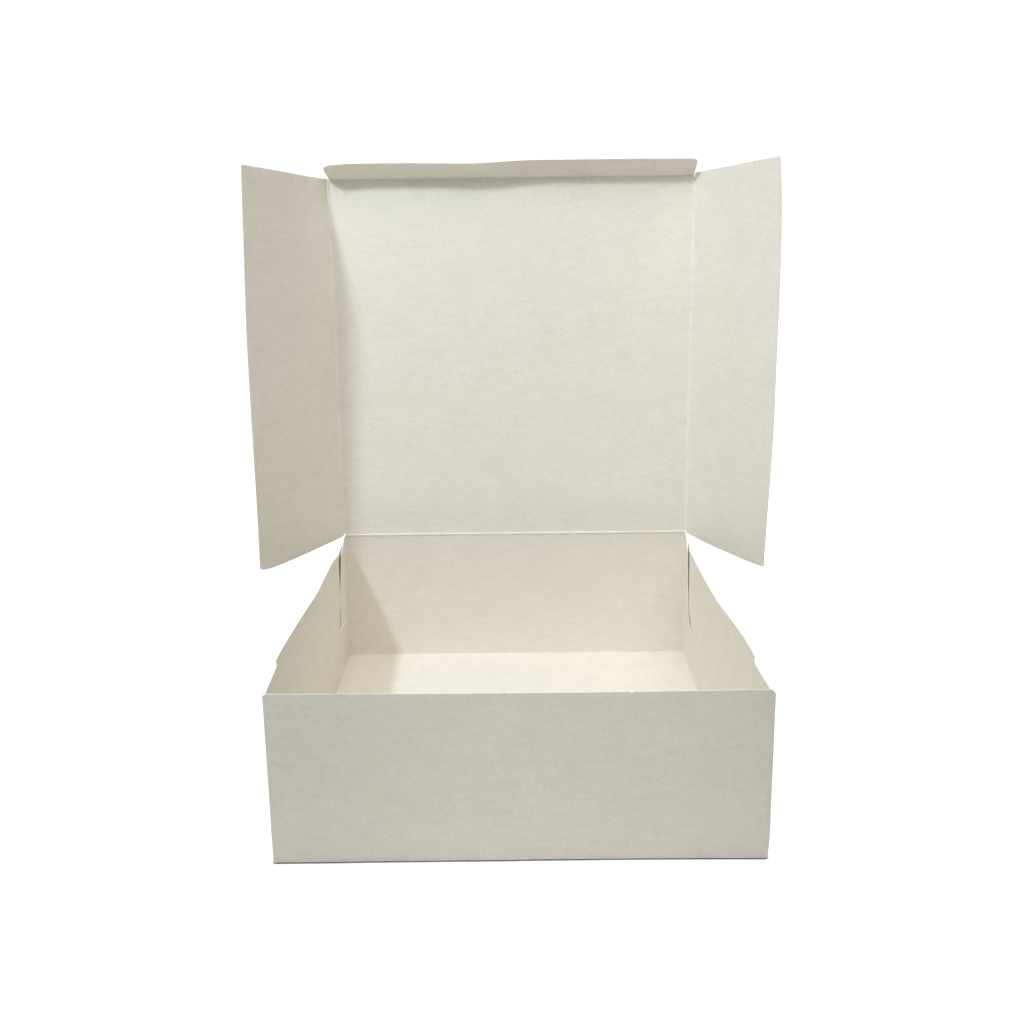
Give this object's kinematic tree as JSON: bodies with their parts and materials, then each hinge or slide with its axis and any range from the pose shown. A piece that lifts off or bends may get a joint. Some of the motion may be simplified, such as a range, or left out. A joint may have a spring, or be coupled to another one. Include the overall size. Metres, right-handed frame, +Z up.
{
  "type": "pastry box",
  "caption": "Square white paperboard bakery box with locked corners, standing open: a low tray with a hinged lid that carries side flaps and a tuck flap.",
  "frame": {"origin": "middle of the floor panel's underside, on the surface that the box stands on", "axes": "+Z up, front wall towards -Y, lid hinge at the back towards +Y, +X to the right seen from the front"},
  "size_m": [0.2646, 0.2147, 0.2889],
  "materials": {
    "tray_card": "matte",
    "lid_card": "matte"
  },
  "bodies": {
    "tray": {"tray": "tray_card"},
    "lid": {"lid_panel": "lid_card"},
    "left_flap": {"left_lid_flap": "lid_card"},
    "right_flap": {"right_lid_flap": "lid_card"},
    "tuck": {"tuck_flap": "lid_card"}
  },
  "joints": [
    {"name": "lid_hinge", "type": "hinge", "parent": "tray", "child": "lid", "pos_m": [0, 0.10205, 0.0772], "axis": [-1, 0, 0], "range_deg": [-92, 87]},
    {"name": "left_flap_fold", "type": "hinge", "parent": "lid", "child": "left_flap", "pos_m": [-0.10145, 0.10205, 0.0772], "axis": [0, 0.0523, 0.9986], "range_deg": [-64, 26]},
    {"name": "right_flap_fold", "type": "hinge", "parent": "lid", "child": "right_flap", "pos_m": [0.10145, 0.10205, 0.0772], "axis": [0, -0.0523, -0.9986], "range_deg": [-66, 24]},
    {"name": "tuck_fold", "type": "hinge", "parent": "lid", "child": "tuck", "pos_m": [0, 0.11268, 0.28012], "axis": [1, 0, 0], "range_deg": [-54, 36]}
  ]
}
